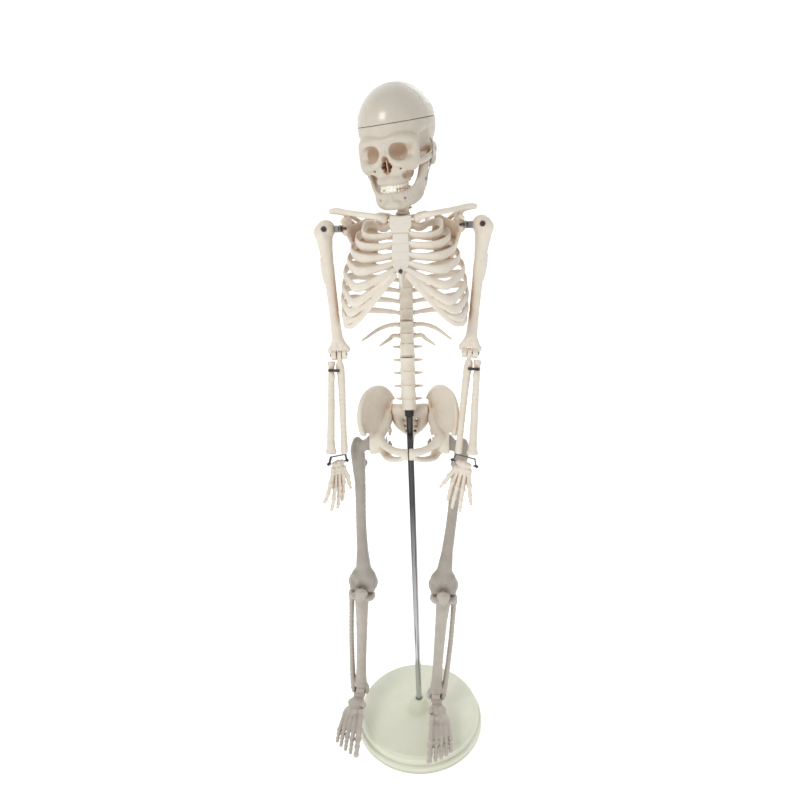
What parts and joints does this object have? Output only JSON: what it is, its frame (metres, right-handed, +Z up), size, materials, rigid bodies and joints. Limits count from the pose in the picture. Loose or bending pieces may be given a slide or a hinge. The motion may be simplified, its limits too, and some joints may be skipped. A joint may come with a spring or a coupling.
{
  "type": "human skeleton model",
  "caption": "Half-size anatomical skeleton of moulded ivory bones hung on a chrome pole in a round weighted stand, with hinged limbs, jaw, head and lift-off skull cap.",
  "frame": {"origin": "centre of the underside of the stand, where it rests on the floor or a table", "axes": "+Z up along the pole, -Y the way the skeleton faces, +X the skeleton's own left"},
  "size_m": [0.2081, 0.2015, 0.849],
  "materials": {
    "bone": "moulded ivory plastic with a soft sheen",
    "leg_bone": "moulded greyish ivory plastic, slightly grained",
    "stand": "pale greenish ivory plastic",
    "chrome": "polished chrome tube",
    "steel": "plain steel fasteners and links",
    "zinc": "bright zinc-plated washer",
    "rubber": "black rubber plug"
  },
  "bodies": {
    "stand": {"stand_base": "stand", "base_plate": "steel", "pole_nut": "steel", "pole": "chrome", "pole_collar": "rubber"},
    "torso": {"spine": "bone", "sacrum": "bone", "sternum": "bone", "sternum_screw": "steel", "hip_bone_left": "bone", "rib_cage_left": "bone", "clavicle_left": "bone", "scapula_left": "bone", "glenoid_screw_left": "steel", "hip_bone_right": "bone", "rib_cage_right": "bone", "clavicle_right": "bone", "scapula_right": "bone", "glenoid_screw_right": "steel"},
    "neck": {"neck_pin": "steel"},
    "skull": {"skull_base": "bone", "jaw_spring_left": "steel", "jaw_spring_right": "steel"},
    "cap": {"skull_cap": "bone"},
    "jaw": {"mandible": "bone"},
    "shoulder_link_left": {"shoulder_bracket_left": "steel"},
    "upper_arm_left": {"humerus_left": "bone", "humerus_screw_left": "steel", "elbow_pin_left": "steel"},
    "forearm_left": {"ulna_left": "bone", "radius_left": "bone", "radius_link_left": "steel", "wrist_bracket_left": "steel"},
    "hand_left": {"hand_left": "bone"},
    "hip_link_left": {"hip_washer_left": "zinc"},
    "thigh_left": {"femur_left": "leg_bone", "hip_bolt_left": "steel"},
    "shank_left": {"tibia_left": "leg_bone", "patella_left": "leg_bone", "knee_pin_left": "steel"},
    "foot_left": {"foot_left": "leg_bone"},
    "shoulder_link_right": {"shoulder_bracket_right": "steel"},
    "upper_arm_right": {"humerus_right": "bone", "humerus_screw_right": "steel", "elbow_pin_right": "steel"},
    "forearm_right": {"ulna_right": "bone", "radius_right": "bone", "radius_link_right": "steel", "wrist_bracket_right": "steel"},
    "hand_right": {"hand_right": "bone"},
    "hip_link_right": {"hip_washer_right": "zinc"},
    "thigh_right": {"femur_right": "leg_bone", "hip_bolt_right": "steel"},
    "shank_right": {"tibia_right": "leg_bone", "patella_right": "leg_bone", "knee_pin_right": "steel"},
    "foot_right": {"foot_right": "leg_bone"}
  },
  "joints": [
    {"name": "torso_swivel", "type": "hinge", "parent": "stand", "child": "torso", "pos_m": [0, 0, 0], "axis": [0, 0, 1], "continuous": true},
    {"name": "head_turn", "type": "hinge", "parent": "torso", "child": "neck", "pos_m": [0.00008, 0.003, 0.7785], "axis": [0, 0, 1], "range_deg": [-45, 70]},
    {"name": "head_nod", "type": "hinge", "parent": "neck", "child": "skull", "pos_m": [0.00008, 0.003, 0.7785], "axis": [0.9588, -0.284, 0], "range_deg": [-7, 3]},
    {"name": "cap_lift", "type": "slide", "parent": "skull", "child": "cap", "axis": [-0.1081, -0.1221, 0.9866], "range_m": [0, 0.06]},
    {"name": "jaw_open", "type": "hinge", "parent": "skull", "child": "jaw", "pos_m": [-0.00144, -0.00388, 0.7714], "axis": [0.9565, -0.2833, 0.0698], "range_deg": [0, 20]},
    {"name": "shoulder_swing_left", "type": "hinge", "parent": "torso", "child": "shoulder_link_left", "pos_m": [0.06837, -0.00599, 0.704], "axis": [-0.9997, 0.0262, 0], "range_deg": [0, 95]},
    {"name": "shoulder_lift_left", "type": "hinge", "parent": "shoulder_link_left", "child": "upper_arm_left", "pos_m": [0.0875, -0.00134, 0.70328], "axis": [-0.0259, -0.9899, 0.1392], "range_deg": [0, 70]},
    {"name": "elbow_left", "type": "hinge", "parent": "upper_arm_left", "child": "forearm_left", "pos_m": [0.07377, -0.02081, 0.56227], "axis": [-0.995, 0.0389, 0.0915], "range_deg": [0, 105]},
    {"name": "wrist_left", "type": "hinge", "parent": "forearm_left", "child": "hand_left", "pos_m": [0.06482, -0.04516, 0.43591], "axis": [-0.9228, 0.3597, 0.1382], "range_deg": [-25, 25]},
    {"name": "hip_swing_left", "type": "hinge", "parent": "torso", "child": "hip_link_left", "pos_m": [0.04422, -0.01116, 0.447], "axis": [-0.9997, 0.0262, 0], "range_deg": [-20, 3]},
    {"name": "hip_spread_left", "type": "hinge", "parent": "hip_link_left", "child": "thigh_left", "pos_m": [0.04422, -0.01116, 0.447], "axis": [-0.0261, -0.9983, 0.0523], "range_deg": [-1, 8]},
    {"name": "knee_left", "type": "hinge", "parent": "thigh_left", "child": "shank_left", "pos_m": [0.03795, -0.02149, 0.24677], "axis": [0.9997, -0.0262, 0], "range_deg": [0, 105]},
    {"name": "ankle_left", "type": "hinge", "parent": "shank_left", "child": "foot_left", "pos_m": [0.0248, -0.02632, 0.0718], "axis": [-0.9997, 0.0262, 0], "range_deg": [-8, 18]},
    {"name": "shoulder_swing_right", "type": "hinge", "parent": "torso", "child": "shoulder_link_right", "pos_m": [-0.06859, -0.00241, 0.704], "axis": [-0.9997, 0.0262, 0], "range_deg": [0, 95]},
    {"name": "shoulder_lift_right", "type": "hinge", "parent": "shoulder_link_right", "child": "upper_arm_right", "pos_m": [-0.08744, 0.00326, 0.70341], "axis": [0.026, 0.9932, -0.1132], "range_deg": [0, 70]},
    {"name": "elbow_right", "type": "hinge", "parent": "upper_arm_right", "child": "forearm_right", "pos_m": [-0.08014, -0.01311, 0.56154], "axis": [-0.9984, 0.02, -0.0537], "range_deg": [0, 105]},
    {"name": "wrist_right", "type": "hinge", "parent": "forearm_right", "child": "hand_right", "pos_m": [-0.08654, -0.03422, 0.43444], "axis": [-0.6311, -0.7516, 0.192], "range_deg": [-20, 25]},
    {"name": "hip_swing_right", "type": "hinge", "parent": "torso", "child": "hip_link_right", "pos_m": [-0.04475, -0.00883, 0.447], "axis": [-0.9997, 0.0262, 0], "range_deg": [-20, 45]},
    {"name": "hip_spread_right", "type": "hinge", "parent": "hip_link_right", "child": "thigh_right", "pos_m": [-0.04475, -0.00883, 0.447], "axis": [0.0262, 0.999, -0.0349], "range_deg": [-7, 0]},
    {"name": "knee_right", "type": "hinge", "parent": "thigh_right", "child": "shank_right", "pos_m": [-0.06862, -0.01516, 0.24794], "axis": [0.9885, -0.0311, -0.1477], "range_deg": [0, 105]},
    {"name": "ankle_right", "type": "hinge", "parent": "shank_right", "child": "foot_right", "pos_m": [-0.08166, -0.01693, 0.0729], "axis": [-0.9885, 0.0311, 0.1477], "range_deg": [-8, 18]}
  ]
}
